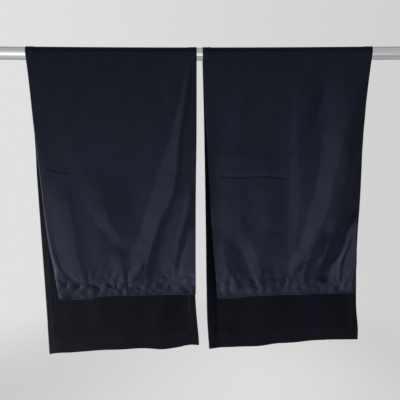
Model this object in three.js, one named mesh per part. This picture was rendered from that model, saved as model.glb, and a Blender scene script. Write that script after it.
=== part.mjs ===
// Two narrow blackout curtains, each hung doubled over one round steel rail.
// Each curtain is one sheet: its gathered heading hangs in front, its plain hem hangs lower behind.
// Millimetres. X runs along the rail from its left end, Y points away from the viewer, Z is up.
// The origin is the middle of the rail's left end face.

import * as THREE from 'three';

// ---- Driving dimensions ----

const RAIL = {
  length: 1300,
  diameter: 38,
  edge: 1, // bevel round each end face
  sag: 4, // how far mid-span hangs below the two ends
  sides: 48,
  bays: 10,
};

const CLOTH = {
  thickness: 1.3,
  hemThickness: 2.1, // the cloth is turned over and sewn along all four edges
  sideHem: 25,
  lowerHem: 50,
  railGap: 0.35,
};

// The gathered heading is a band between two rows of stitching along the front edge.
const HEADING = {
  height: 62,
  rows: 4,
  lift: 0.35, // share of a pucker's depth that is left at the heading's free edge
  fade: 110, // puckers run out over this length above the band
};

const GRID = {
  columnsPerPucker: 4,
  frontRows: 10,
  railRows: 10,
  backRows: 7,
};

// One entry for each curtain.
// front and back: left and right edge along the rail's X, at each drop below the rail's axis.
// hems: how far the front edge and the back edge hang, at each share of the width from the left.
// puckers: where each valley of the heading lies along X, and how deep it is.
// folds: ridges of the front flap, each from its top end (topX at drop top) to its low end (lowX at
// drop low), see foldRise. A trough has a rise under 0.
// waves: the same for the back flap, where a rise is away from the viewer.
const CURTAINS = [
  {
    name: 'curtain_left',
    color: 0x242737,
    front: [
      { drop: 0, left: 114, right: 639 },
      { drop: 100, left: 123, right: 639 },
      { drop: 280, left: 133, right: 639 },
      { drop: 420, left: 139, right: 637 },
      { drop: 590, left: 152, right: 636 },
      { drop: 700, left: 168, right: 636 },
      { drop: 793, left: 179, right: 633 },
    ],
    back: [
      { drop: 0, left: 105, right: 639 },
      { drop: 150, left: 114, right: 637 },
      { drop: 500, left: 115, right: 633 },
      { drop: 820, left: 118, right: 632 },
      { drop: 1010, left: 118, right: 641 },
    ],
    hems: [
      { across: 0, front: 793, back: 1013 },
      { across: 0.2, front: 792, back: 1006 },
      { across: 0.35, front: 783, back: 1001 },
      { across: 0.75, front: 776, back: 996 },
      { across: 0.92, front: 773, back: 980 },
      { across: 1, front: 773, back: 980 },
    ],
    puckers: [
      { x: 214, depth: 7 },
      { x: 258, depth: 10 },
      { x: 302, depth: 9 },
      { x: 354, depth: 8 },
      { x: 408, depth: 13 },
      { x: 470, depth: 7 },
      { x: 550, depth: 9 },
      { x: 608, depth: 7 },
    ],
    folds: [
      { name: 'long', topX: 629, top: 35, lowX: 455, low: 650, bow: 42, rise: 11, left: 80, right: 34 },
      { name: 'inner', topX: 616, top: 390, lowX: 588, low: 620, bow: 0, rise: 5, left: 26, right: 22 },
      { name: 'middle', topX: 312, top: 330, lowX: 388, low: 605, bow: -6, rise: 7, left: 36, right: 28 },
      { name: 'outer', topX: 214, top: 440, lowX: 250, low: 700, bow: 4, rise: 6, left: 58, right: 28 },
      { name: 'hollow', topX: 162, top: 520, lowX: 202, low: 712, bow: 0, rise: -5, left: 20, right: 22 },
    ],
    waves: [
      { name: 'outer', topX: 180, top: 200, lowX: 170, low: 900, bow: 0, rise: 5, left: 80, right: 90 },
      { name: 'corner', topX: 660, top: 720, lowX: 500, low: 980, bow: 0, rise: 5, left: 70, right: 90 },
    ],
  },
  {
    name: 'curtain_right',
    color: 0x252838,
    front: [
      { drop: 0, left: 658, right: 1177 },
      { drop: 140, left: 666, right: 1167 },
      { drop: 300, left: 672, right: 1164 },
      { drop: 460, left: 681, right: 1165 },
      { drop: 620, left: 691, right: 1164 },
      { drop: 788, left: 706, right: 1167 },
    ],
    back: [
      { drop: 0, left: 657, right: 1186 },
      { drop: 170, left: 662, right: 1183 },
      { drop: 480, left: 667, right: 1182 },
      { drop: 750, left: 674, right: 1187 },
      { drop: 900, left: 678, right: 1202 },
      { drop: 990, left: 688, right: 1205 },
    ],
    hems: [
      { across: 0, front: 788, back: 993 },
      { across: 0.13, front: 788, back: 989 },
      { across: 0.25, front: 781, back: 987 },
      { across: 0.35, front: 780, back: 983 },
      { across: 0.5, front: 777, back: 973 },
      { across: 0.8, front: 774, back: 960 },
      { across: 1, front: 772, back: 960 },
    ],
    puckers: [
      { x: 727, depth: 7 },
      { x: 774, depth: 9 },
      { x: 816, depth: 8 },
      { x: 876, depth: 9 },
      { x: 932, depth: 7 },
      { x: 996, depth: 10 },
      { x: 1054, depth: 10 },
      { x: 1120, depth: 8 },
    ],
    folds: [
      { name: 'upright', topX: 955, top: 60, lowX: 970, low: 540, bow: 2, rise: 4, left: 36, right: 34 },
      { name: 'long', topX: 1165, top: 60, lowX: 985, low: 675, bow: 8, rise: 12, left: 64, right: 28 },
      { name: 'second', topX: 1138, top: 250, lowX: 1041, low: 700, bow: 6, rise: 7, left: 30, right: 28 },
      { name: 'outer', topX: 1158, top: 470, lowX: 1122, low: 715, bow: 0, rise: 8, left: 46, right: 20 },
      { name: 'inner', topX: 735, top: 520, lowX: 780, low: 705, bow: 0, rise: 7, left: 54, right: 32 },
      { name: 'next', topX: 790, top: 490, lowX: 858, low: 710, bow: 0, rise: 7, left: 44, right: 40 },
    ],
    waves: [
      { name: 'inner', topX: 740, top: 250, lowX: 730, low: 900, bow: 0, rise: 5, left: 80, right: 90 },
      { name: 'outer', topX: 1090, top: 300, lowX: 1110, low: 920, bow: 0, rise: -4, left: 100, right: 90 },
    ],
  },
];

// How a ridge is shaped along its crest.
const RIDGE = {
  tip: 0.3, // share of its reach to each side at its top end
  full: 0.7, // it is at its full rise from this share of the way down
  runOut: 0.2, // it dies away past its low end over this share of its length
};

const RAIL_RADIUS = RAIL.diameter / 2;
const RAIL_STEP = Math.PI / GRID.railRows;

// The cloth bends round the rail in short flats, so its corners stand out a little further
// than the gap, and the middle of each flat keeps that gap.
const INNER_RADIUS = (RAIL_RADIUS + CLOTH.railGap) / Math.cos(RAIL_STEP / 2);

// ---- Small helpers ----

const { clamp, lerp, smoothstep } = THREE.MathUtils;

/** Reads one column of a table between its rows, by straight lines. */
function readTable(rows, key, column, at) {
  for (let i = 1; i < rows.length; i += 1) {
    const low = rows[i - 1];
    const high = rows[i];
    if (at <= high[key] || i === rows.length - 1) {
      const share = clamp((at - low[key]) / (high[key] - low[key]), 0, 1);
      return lerp(low[column], high[column], share);
    }
  }
  return rows[0][column];
}

/** How far the rail has sagged below its ends at x. */
function sagAt(x) {
  const fromMiddle = (2 * x) / RAIL.length - 1;
  return RAIL.sag * (1 - fromMiddle * fromMiddle);
}

/**
 * Sum of a table's ridges at one place of a flap. A crest runs from its top end to its low end and
 * bows to the right between them. It rises from nothing at the top, and its slopes reach further to
 * each side on the way down.
 */
function foldRise(folds, x, drop) {
  let total = 0;
  for (const fold of folds) {
    const way = (drop - fold.top) / (fold.low - fold.top);
    const along = clamp(way, 0, 1);
    const crest = lerp(fold.topX, fold.lowX, along) + 4 * fold.bow * along * (1 - along);
    const reach = (x < crest ? fold.left : fold.right) * lerp(RIDGE.tip, 1, along);
    const slope = 1 - smoothstep(Math.abs(x - crest) / reach, 0, 1);
    const grown = smoothstep(way, 0, RIDGE.full) * (1 - smoothstep(way, 1, 1 + RIDGE.runOut));
    total += fold.rise * slope * grown;
  }
  return total;
}

// ---- The rail ----

function makeRail() {
  const half = RAIL.length / 2;
  const profile = [new THREE.Vector2(0, -half), new THREE.Vector2(RAIL_RADIUS - RAIL.edge, -half)];
  const firstRing = -half + RAIL.edge;
  const ringSpan = RAIL.length - 2 * RAIL.edge;
  for (let bay = 0; bay <= RAIL.bays; bay += 1) {
    profile.push(new THREE.Vector2(RAIL_RADIUS, firstRing + (ringSpan * bay) / RAIL.bays));
  }
  profile.push(new THREE.Vector2(RAIL_RADIUS - RAIL.edge, half), new THREE.Vector2(0, half));

  const geometry = new THREE.LatheGeometry(profile, RAIL.sides);
  geometry.rotateZ(-Math.PI / 2);
  geometry.translate(half, 0, 0);
  const position = geometry.getAttribute('position');
  for (let i = 0; i < position.count; i += 1) {
    position.setZ(i, position.getZ(i) - sagAt(position.getX(i)));
  }
  const steel = new THREE.MeshStandardMaterial({ color: 0xc9c9c9, roughness: 0.2, metalness: 1 });
  const rail = new THREE.Mesh(geometry, steel);
  rail.name = 'rail';
  return rail;
}

// ---- The curtains ----

/** The rows of the grid, from the front heading up over the rail and down to the back hem. */
function clothRows() {
  const rows = [];
  for (let i = 0; i <= HEADING.rows; i += 1) {
    rows.push({ flap: 'front', aboveHem: (HEADING.height * i) / HEADING.rows, share: 0 });
  }
  for (let i = 1; i < GRID.frontRows; i += 1) {
    rows.push({ flap: 'front', aboveHem: HEADING.height, share: i / GRID.frontRows });
  }
  for (let i = 0; i <= GRID.railRows; i += 1) {
    rows.push({ flap: 'rail', angle: Math.PI - i * RAIL_STEP });
  }
  for (let i = 1; i <= GRID.backRows; i += 1) {
    rows.push({ flap: 'back', aboveHem: CLOTH.lowerHem, share: 1 - i / GRID.backRows });
  }
  rows.push({ flap: 'back', aboveHem: 0, share: 0 });
  return rows;
}

/** Where a column of the cloth lies between the heading's edges, drawn together at each pucker. */
function gatheredX(curtain, across, left, right) {
  const marks = [left, ...curtain.puckers.map((pucker) => pucker.x), right];
  const place = across * curtain.puckers.length + 0.5;
  const first = clamp(Math.floor(place), 0, marks.length - 2);
  const start = first === 0 ? 0.5 : first;
  const end = first === marks.length - 2 ? first + 0.5 : first + 1;
  return lerp(marks[first], marks[first + 1], (place - start) / (end - start));
}

/** How far the heading's pucker stands in or out at one column. */
function puckerRise(curtain, across) {
  const count = curtain.puckers.length;
  const nearest = clamp(Math.floor(across * count), 0, count - 1);
  const turn = 2 * Math.PI * across * count;
  return 0.5 * curtain.puckers[nearest].depth * Math.cos(turn);
}

/** One point of the curtain's reverse side, before the rail's sag. */
function reversePoint(curtain, row, across) {
  if (row.flap === 'rail') {
    const frontShare = row.angle / Math.PI;
    const left = lerp(curtain.back[0].left, curtain.front[0].left, frontShare);
    const right = lerp(curtain.back[0].right, curtain.front[0].right, frontShare);
    const y = INNER_RADIUS * Math.cos(row.angle);
    const z = INNER_RADIUS * Math.sin(row.angle);
    return new THREE.Vector3(lerp(left, right, across), y, z);
  }
  const hem = readTable(curtain.hems, 'across', row.flap, across);
  const drop = (hem - row.aboveHem) * (1 - row.share);
  const edges = curtain[row.flap];
  const left = readTable(edges, 'drop', 'left', drop);
  const right = readTable(edges, 'drop', 'right', drop);
  const plainX = lerp(left, right, across);
  if (row.flap === 'back') {
    const rise = foldRise(curtain.waves, plainX, drop);
    return new THREE.Vector3(plainX, INNER_RADIUS + rise, -drop);
  }
  const aboveBand = Math.max(hem - HEADING.height - drop, 0);
  const gathered = 1 - smoothstep(aboveBand, 0, HEADING.fade);
  const freeEdge = lerp(HEADING.lift, 1, smoothstep(row.aboveHem, 0, HEADING.height / 2));
  const x = lerp(plainX, gatheredX(curtain, across, left, right), gathered);
  const rise = foldRise(curtain.folds, x, drop) + puckerRise(curtain, across) * gathered * freeEdge;
  return new THREE.Vector3(x, -INNER_RADIUS - rise, -drop);
}

/** The cloth's thickness at one place: doubled where it is turned over along an edge. */
function clothThickness(row, fromSide) {
  const inHeading = row.flap === 'front' && row.share === 0;
  const inLowerHem = row.flap === 'back' && row.aboveHem === 0;
  const turned = inHeading || inLowerHem || fromSide < CLOTH.sideHem;
  return turned ? CLOTH.hemThickness : CLOTH.thickness;
}

/** Rows of points for the reverse side and, a thickness further out, for the face. */
function clothSides(curtain) {
  const columns = curtain.puckers.length * GRID.columnsPerPucker;
  const rows = clothRows();
  const reverse = rows.map((row) => {
    const points = [];
    for (let column = 0; column <= columns; column += 1) {
      points.push(reversePoint(curtain, row, column / columns));
    }
    return points;
  });
  const face = reverse.map((points, r) => points.map((point, c) => {
    const before = reverse[Math.max(r - 1, 0)][c];
    const after = reverse[Math.min(r + 1, rows.length - 1)][c];
    const leftward = points[Math.max(c - 1, 0)];
    const rightward = points[Math.min(c + 1, columns)];
    const along = new THREE.Vector3().subVectors(after, before);
    const across = new THREE.Vector3().subVectors(rightward, leftward);
    const outward = across.cross(along).normalize();
    const fromSide = Math.min(point.x - points[0].x, points[columns].x - point.x);
    return outward.multiplyScalar(clothThickness(rows[r], fromSide)).add(point);
  }));
  return { reverse, face };
}

/** One closed sheet: face, reverse and the four narrow edges between them. */
function makeCurtain(curtain) {
  const { reverse, face } = clothSides(curtain);
  const rowCount = face.length;
  const columnCount = face[0].length;
  const vertices = [];
  for (const side of [face, reverse]) {
    for (const points of side) {
      for (const point of points) {
        vertices.push(point.x, point.y, point.z - sagAt(point.x));
      }
    }
  }
  const faceAt = (r, c) => r * columnCount + c;
  const reverseAt = (r, c) => (rowCount + r) * columnCount + c;
  const indices = [];
  const addQuad = (a, b, c, d) => indices.push(a, b, c, a, c, d);
  const lastRow = rowCount - 1;
  const last = columnCount - 1;
  for (let r = 0; r < lastRow; r += 1) {
    for (let c = 0; c < last; c += 1) {
      addQuad(faceAt(r, c), faceAt(r, c + 1), faceAt(r + 1, c + 1), faceAt(r + 1, c));
      addQuad(reverseAt(r, c), reverseAt(r + 1, c), reverseAt(r + 1, c + 1), reverseAt(r, c + 1));
    }
    addQuad(faceAt(r, 0), faceAt(r + 1, 0), reverseAt(r + 1, 0), reverseAt(r, 0));
    addQuad(faceAt(r + 1, last), faceAt(r, last), reverseAt(r, last), reverseAt(r + 1, last));
  }
  for (let c = 0; c < last; c += 1) {
    addQuad(faceAt(0, c + 1), faceAt(0, c), reverseAt(0, c), reverseAt(0, c + 1));
    addQuad(faceAt(lastRow, c), faceAt(lastRow, c + 1), reverseAt(lastRow, c + 1), reverseAt(lastRow, c));
  }
  const geometry = new THREE.BufferGeometry();
  geometry.setAttribute('position', new THREE.Float32BufferAttribute(vertices, 3));
  geometry.setIndex(indices);
  geometry.computeVertexNormals();
  const fabric = new THREE.MeshStandardMaterial({ color: curtain.color, roughness: 0.6, metalness: 0 });
  const sheet = new THREE.Mesh(geometry, fabric);
  sheet.name = curtain.name;
  return sheet;
}

const curtainsOnRail = new THREE.Group();
curtainsOnRail.add(makeRail());
for (const curtain of CURTAINS) {
  curtainsOnRail.add(makeCurtain(curtain));
}

export default curtainsOnRail;
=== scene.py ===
"""Two dark blackout curtains hung doubled over one round steel rail.

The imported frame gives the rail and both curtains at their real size. Here each curtain becomes one
fine closed sheet with its folds, gathered heading, hems and stitching, and the rail a smooth
polished tube. Tables are in millimetres and meshes in metres. X runs along the rail from its left
end, Y points away from the viewer, Z is up, and a drop is measured down from the rail's axis.
"""

import logging
import math
from dataclasses import dataclass, field
from enum import IntEnum
from typing import Any

import bpy
import numpy as np
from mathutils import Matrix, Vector


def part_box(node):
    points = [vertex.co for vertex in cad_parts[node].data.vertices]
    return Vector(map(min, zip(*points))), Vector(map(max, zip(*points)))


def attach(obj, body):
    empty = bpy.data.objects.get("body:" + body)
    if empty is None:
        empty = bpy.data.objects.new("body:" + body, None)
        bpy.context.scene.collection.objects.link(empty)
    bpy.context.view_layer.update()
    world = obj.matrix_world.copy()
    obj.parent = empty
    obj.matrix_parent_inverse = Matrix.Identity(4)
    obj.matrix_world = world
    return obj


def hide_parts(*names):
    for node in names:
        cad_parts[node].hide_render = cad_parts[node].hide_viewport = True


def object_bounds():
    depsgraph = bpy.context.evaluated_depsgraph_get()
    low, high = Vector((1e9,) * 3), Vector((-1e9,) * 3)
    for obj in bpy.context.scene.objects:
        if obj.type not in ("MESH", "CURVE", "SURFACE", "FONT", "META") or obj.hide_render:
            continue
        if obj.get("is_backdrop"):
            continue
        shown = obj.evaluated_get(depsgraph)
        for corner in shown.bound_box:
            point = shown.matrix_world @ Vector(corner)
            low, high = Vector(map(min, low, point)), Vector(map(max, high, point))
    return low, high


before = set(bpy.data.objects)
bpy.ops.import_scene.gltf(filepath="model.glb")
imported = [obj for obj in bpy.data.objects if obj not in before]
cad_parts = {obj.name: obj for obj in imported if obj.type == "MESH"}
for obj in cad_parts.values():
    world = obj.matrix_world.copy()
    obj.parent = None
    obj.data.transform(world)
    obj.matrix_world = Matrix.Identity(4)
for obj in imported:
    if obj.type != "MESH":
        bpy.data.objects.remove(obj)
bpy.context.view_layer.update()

MM = 0.001

Array = np.ndarray
Face = tuple[int, ...]
Point = tuple[float, float, float]
Tree = bpy.types.NodeTree
Material = bpy.types.Material
Piece = bpy.types.Object
Sockets = dict[str, Any]  # what a node's inputs hold, by their names or numbers

log = logging.getLogger("curtains")


# ---- Small helpers ----


def smooth(share: Array) -> Array:
    """Eases from 0 to 1 as share goes from 0 to 1, and is level outside."""
    held = np.clip(share, 0.0, 1.0)
    return held * held * (3.0 - 2.0 * held)


def bell(distance: Array, width: float) -> Array:
    """A soft bump, 1 at no distance and nearly 0 at twice the width."""
    return np.exp(-((distance / width) ** 2))


def linear_colour(code: str) -> tuple[float, float, float, float]:
    """Turns an sRGB hex colour into linear light.

    Args:
        code: six hex digits, such as "23283a".

    Returns:
        Red, green, blue and full alpha.
    """
    shares = [int(code[i : i + 2], 16) / 255 for i in (0, 2, 4)]
    linear = [s / 12.92 if s <= 0.04045 else ((s + 0.055) / 1.055) ** 2.4 for s in shares]
    return (linear[0], linear[1], linear[2], 1.0)


def add_node(tree: Tree, kind: str, links: Sockets | None = None, **settings: Any) -> Any:
    """Adds a node with its settings and links.

    Args:
        tree: the node tree that gets it.
        kind: Blender's name for the node type, without its usual "ShaderNode".
        links: for each input socket, another node's output socket or a plain value.
        settings: the node's own properties.

    Returns:
        The new node.
    """
    node = tree.nodes.new("ShaderNode" + kind)
    for name, value in settings.items():
        setattr(node, name, value)
    for name, value in (links or {}).items():
        socket = node.inputs[int(name)] if name.isdigit() else node.inputs[name]
        if isinstance(value, bpy.types.NodeSocket):
            tree.links.new(value, socket)
        else:
            socket.default_value = value
    return node


def new_piece(name: str, points: Array, faces: list[Face], materials: list[Material]) -> Piece:
    """Makes a smoothly shaded piece and puts it in the scene.

    Args:
        name: name of the object and its mesh.
        points: a row of X, Y and Z in metres for each point.
        faces: point numbers of each face.
        materials: what its slots hold, in order.

    Returns:
        The new object.
    """
    mesh = bpy.data.meshes.new(name)
    mesh.from_pydata(points.tolist(), [], faces)
    for material in materials:
        mesh.materials.append(material)
    mesh.shade_smooth()
    piece = bpy.data.objects.new(name, mesh)
    bpy.context.scene.collection.objects.link(piece)
    return piece


def tube_faces(rings: int, sides: int, first: int = 0) -> list[Face]:
    """Faces of a closed tube whose points are given ring by ring.

    Args:
        rings: how many rings it has.
        sides: how many points each ring has.
        first: number of its first point.

    Returns:
        The faces between the rings, and then the two ends.
    """
    faces: list[Face] = []
    for ring in range(rings - 1):
        here = first + ring * sides
        there = here + sides
        for side in range(sides):
            ahead = (side + 1) % sides
            faces.append((here + side, there + side, there + ahead, here + ahead))
    last = first + (rings - 1) * sides
    faces.append(tuple(range(first, first + sides)))
    faces.append(tuple(reversed(range(last, last + sides))))
    return faces


@dataclass(frozen=True)
class Line:
    """A smooth line through a few stations, level past both ends."""

    at: tuple[float, ...]
    value: tuple[float, ...]

    def read(self, where: Array) -> Array:
        """Reads the line by cubics between its stations.

        Args:
            where: places to read it at.

        Returns:
            The line's value at each place.
        """
        at = np.array(self.at, dtype=float)
        value = np.array(self.value, dtype=float)
        slope = np.gradient(value, at)
        place = np.clip(where, at[0], at[-1])
        first = np.clip(np.searchsorted(at, place, side="right") - 1, 0, len(at) - 2)
        span = at[first + 1] - at[first]
        t = (place - at[first]) / span
        start = (1 + 2 * t) * (1 - t) ** 2 * value[first] + t * (1 - t) ** 2 * span * slope[first]
        end = t * t * (3 - 2 * t) * value[first + 1] - t * t * (1 - t) * span * slope[first + 1]
        return start + end


def amount(value: Line | float, where: Array) -> Array:
    """Reads a value that may be given as one number or as a line."""
    return value.read(where) if isinstance(value, Line) else np.full_like(where, value)


@dataclass(frozen=True)
class Waviness:
    """Soft unevenness of a hanging cloth, as a few crossed swells of unlike direction.

    rise is its height, and wide and tall are the usual lengths of a swell across and down.
    """

    rise: float
    wide: float
    tall: float
    seed: int
    swells: int = 7

    def height(self, x: Array, drop: Array) -> Array:
        """Height of the unevenness.

        Args:
            x, drop: the places where it is wanted.

        Returns:
            Millimetres out of the cloth.
        """
        random = np.random.default_rng(self.seed)
        total = np.zeros_like(x)
        for _ in range(self.swells):
            across = random.uniform(0.6, 1.5) / self.wide
            down = random.uniform(-1.4, 1.4) / self.tall
            total += np.sin(2 * math.pi * (x * across + drop * down + random.uniform(0, 1)))
        return self.rise * total / math.sqrt(self.swells)


# ---- Finishes ----

TWO_NOISES: Sockets = {"From Min": 0.7, "From Max": 1.3}  # where the sum of two noises mostly lies


class Side(IntEnum):
    """The finishes of a curtain, in the order of its material slots."""

    FACE = 0
    REVERSE = 1
    TURNED = 2


@dataclass(frozen=True)
class Finish:
    """A finish, which becomes a material of its own name."""

    name: str

    def make(self) -> Material:
        """Builds the material.

        Returns:
            The new material, with the finish's shader on its surface.
        """
        material = bpy.data.materials.new(self.name)
        material.use_nodes = True
        tree = material.node_tree
        tree.nodes.clear()
        add_node(tree, "OutputMaterial", {"Surface": self.shader(tree).outputs[0]})
        return material

    def shader(self, tree: Tree) -> Any:
        """Adds the finish's nodes to the material's tree, and returns the last of them."""
        raise NotImplementedError

    def marked(
        self, tree: Tree, marks: Any, strength: float, deep_mm: float, rest: Sockets
    ) -> Any:
        """Adds a principled shader with marks in its surface.

        Args:
            tree: the material's node tree.
            marks: the output socket that gives the marks.
            strength: how clearly they show.
            deep_mm: how deep they are.
            rest: what the shader's other sockets hold.

        Returns:
            The shader node.
        """
        pressed = {"Height": marks, "Strength": strength, "Distance": deep_mm * MM}
        normal = add_node(tree, "Bump", pressed).outputs["Normal"]
        return add_node(tree, "BsdfPrincipled", {**rest, "Normal": normal})


@dataclass(frozen=True)
class BlackoutCloth(Finish):
    """Blackout cloth of close-woven polyester.

    The face is a navy satin weave with a soft gloss, and the reverse is a dull, almost black side.
    """

    deep: str  # colour in the dark of the mottling
    light: str  # colour in the light of the mottling
    roughness: float
    specular: float  # specular IOR level: dark dyed cloth reflects less than plastic does
    uneven_gloss: float = 0.04
    weave_mm: float = 6.9115  # real threads are 0.3 mm apart: drawn as coarse as they need to show
    weave_depth_mm: float = 0.3
    weave_strength: float = 0.1
    slub_mm: float = 7.0  # uneven yarn shows as faint streaks along the cloth
    slub_stretch: float = 0.3
    mottle_mm: float = 45.0

    def shader(self, tree: Tree) -> Any:
        """Adds mottled colour, streaked gloss and the weave's lines.

        Args:
            tree: the material's node tree.

        Returns:
            The cloth's shader node.
        """
        flat = add_node(tree, "UVMap", uv_map=Curtain.UV_NAME).outputs["UV"]
        blotches = {"Vector": flat, "Scale": 1 / (self.mottle_mm * MM), "Detail": 4.0}
        mottle = add_node(tree, "TexNoise", {**blotches, "Roughness": 0.6}).outputs["Fac"]
        along = {"Vector": flat, "Scale": (1.0, self.slub_stretch, 1.0)}
        drawn_out = add_node(tree, "Mapping", along).outputs["Vector"]
        streaks = {"Vector": drawn_out, "Scale": 1 / (self.slub_mm * MM), "Detail": 3.0}
        slub = add_node(tree, "TexNoise", streaks).outputs["Fac"]
        both = add_node(tree, "Math", {"0": mottle, "1": slub}, operation="ADD").outputs["Value"]
        share = add_node(tree, "MapRange", {"Value": both, **TWO_NOISES}).outputs["Result"]
        dyes = {"Factor": share, "6": linear_colour(self.deep), "7": linear_colour(self.light)}
        colour = add_node(tree, "Mix", dyes, data_type="RGBA").outputs[2]
        least, most = self.roughness - self.uneven_gloss, self.roughness + self.uneven_gloss
        uneven = {"Value": slub, "From Min": 0.3, "From Max": 0.7, "To Min": least, "To Max": most}
        gloss = add_node(tree, "MapRange", uneven).outputs["Result"]
        # A satin weave floats its warp over several wefts: fine lines along, finer ones across.
        scale = 2 * math.pi / (self.weave_mm * MM) / 20  # a wave turns 20 radians to a unit
        lines = {"Vector": flat, "Scale": scale, "Distortion": 0.6}
        warp = add_node(tree, "TexWave", lines, bands_direction="X").outputs["Fac"]
        weft = add_node(tree, "TexWave", lines, bands_direction="Y").outputs["Fac"]
        crossed = {"0": warp, "1": weft}
        weave = add_node(tree, "Math", crossed, operation="MULTIPLY").outputs["Value"]
        rest = {"Base Color": colour, "Roughness": gloss, "Specular IOR Level": self.specular}
        return self.marked(tree, weave, self.weave_strength, self.weave_depth_mm, rest)


@dataclass(frozen=True)
class PolishedSteel(Finish):
    """Stainless steel tube, ground round and polished.

    The polish gives one bright line along the tube between darker flanks, which the edge colour
    darkens further as painted shade, and the grinding leaves fine marks round it that break that
    line up a little.
    """

    name: str = "polished_stainless_steel"
    colour: str = "d2d3d4"
    edge: str = "9a9b9d"  # partly real, since seen edge on the polished skin mirrors less, and partly painted shade that darkens the tube's flanks
    roughness: float = 0.2
    uneven_gloss: tuple[float, float] = (-0.05, 0.06)  # added to the roughness
    grind_mm: float = 1.5  # the real marks are finer, and this is as coarse as they need to be
    grind_depth_mm: float = 0.2
    grind_strength: float = 0.05
    grind_stretch: float = 0.08
    smear_mm: float = 45.45  # soft smears of the polish

    def shader(self, tree: Tree) -> Any:
        """Adds smeared gloss and fine grinding marks.

        Args:
            tree: the material's node tree.

        Returns:
            The steel's shader node.
        """
        place = add_node(tree, "TexCoord").outputs["Object"]
        round_it = {"Vector": place, "Scale": (1.0, self.grind_stretch, self.grind_stretch)}
        rings = add_node(tree, "Mapping", round_it).outputs["Vector"]
        ground = {"Vector": rings, "Scale": 1 / (self.grind_mm * MM), "Detail": 5.0}
        grind = add_node(tree, "TexNoise", ground).outputs["Fac"]
        buffed = {"Vector": place, "Scale": 1 / (self.smear_mm * MM), "Detail": 3.0}
        smears = add_node(tree, "TexNoise", buffed).outputs["Fac"]
        both = add_node(tree, "Math", {"0": grind, "1": smears}, operation="ADD").outputs["Value"]
        least, most = (self.roughness + change for change in self.uneven_gloss)
        uneven = {"Value": both, **TWO_NOISES, "To Min": least, "To Max": most}
        gloss = add_node(tree, "MapRange", uneven).outputs["Result"]
        metal = {"Base Color": linear_colour(self.colour), "Metallic": 1.0, "Roughness": gloss}
        rest = {**metal, "Specular Tint": linear_colour(self.edge)}
        return self.marked(tree, grind, self.grind_strength, self.grind_depth_mm, rest)


@dataclass(frozen=True)
class SewingThread(Finish):
    """Spun polyester thread, a shade darker than the cloth's face, with a faint twist."""

    name: str = "navy_sewing_thread"
    colour: str = "14161e"
    roughness: float = 0.7
    specular: float = 0.3
    twist_mm: float = 0.8
    twist_depth_mm: float = 0.2
    twist_strength: float = 0.4

    def shader(self, tree: Tree) -> Any:
        """Adds a plain thread colour and the twist.

        Args:
            tree: the material's node tree.

        Returns:
            The thread's shader node.
        """
        place = add_node(tree, "TexCoord").outputs["Object"]
        spun = {"Vector": place, "Scale": 1 / (self.twist_mm * MM), "Detail": 2.0}
        twist = add_node(tree, "TexNoise", spun).outputs["Fac"]
        dull = {"Roughness": self.roughness, "Specular IOR Level": self.specular}
        rest = {"Base Color": linear_colour(self.colour), **dull}
        return self.marked(tree, twist, self.twist_strength, self.twist_depth_mm, rest)


@dataclass(frozen=True)
class MattPaint(Finish):
    """Pale matt floor paint, which fades out towards the floor's edge so that no edge shows."""

    name: str = "matt_painted_floor"
    colour: str = "e4e4e4"
    fade_from: float = 1.2  # in metres from the middle
    fade_to: float = 3.0

    def shader(self, tree: Tree) -> Any:
        """Adds the paint and its fading.

        Args:
            tree: the material's node tree.

        Returns:
            The node that mixes paint and nothing.
        """
        place = add_node(tree, "TexCoord").outputs["Object"]
        away = add_node(tree, "VectorMath", {"0": place}, operation="LENGTH").outputs["Value"]
        reach = {"Value": away, "From Min": self.fade_from, "From Max": self.fade_to}
        fading = add_node(tree, "MapRange", reach, interpolation_type="SMOOTHSTEP")
        paint = add_node(tree, "BsdfDiffuse", {"Color": linear_colour(self.colour)}).outputs["BSDF"]
        clear = add_node(tree, "BsdfTransparent").outputs["BSDF"]
        return add_node(tree, "MixShader", {"0": fading.outputs["Result"], "1": paint, "2": clear})


# ---- The rail ----


@dataclass(frozen=True)
class Rail:
    """A round steel tube that both curtains are thrown over, as long and thick as its solid."""

    sag: float = 4 * MM  # how far mid-span hangs below the two ends
    bevel: float = 1 * MM
    sides: int = 120
    bays: int = 60
    end_ring: float = 0.5  # where an end's inner ring of points is, as a share of its outer one

    @property
    def length(self) -> float:
        """Length of the solid, in metres."""
        low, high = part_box("rail")
        return high[0] - low[0]

    @property
    def radius(self) -> float:
        """Radius of the solid, in metres."""
        low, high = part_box("rail")
        return (high[1] - low[1]) / 2

    def sag_at(self, x: Array) -> Array:
        """How far the rail has sagged at x, in metres."""
        from_middle = 2 * x / self.length - 1
        return self.sag * (1 - from_middle**2)

    def build(self, finish: PolishedSteel) -> Piece:
        """Builds the tube as one closed turned shape, bent by its sag.

        Args:
            finish: what it is made of.

        Returns:
            The rail's object.
        """
        inner = self.radius - self.bevel
        stations = [(0.0, inner * self.end_ring), (0.0, inner)]
        stations += [
            (self.bevel + (self.length - 2 * self.bevel) * bay / self.bays, self.radius)
            for bay in range(self.bays + 1)
        ]
        stations += [(self.length, inner), (self.length, inner * self.end_ring)]
        angles = np.linspace(0, 2 * math.pi, self.sides, endpoint=False)
        points: list[Point] = []
        for x, radius in stations:
            drop = float(self.sag_at(np.array(x)))
            points += [(x, radius * math.cos(a), radius * math.sin(a) - drop) for a in angles]
        faces = tube_faces(len(stations), self.sides)
        tube = new_piece("rail_tube", np.array(points), faces, [finish.make()])
        for polygon in tube.data.polygons:
            polygon.use_smooth = abs(polygon.normal.x) < 0.9  # the ends stay flat
        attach(tube, "root")
        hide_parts("rail")
        log.info("rail_tube: %d faces", len(faces))
        return tube


RAIL = Rail()


# ---- Folds, puckers and creases ----


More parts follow.
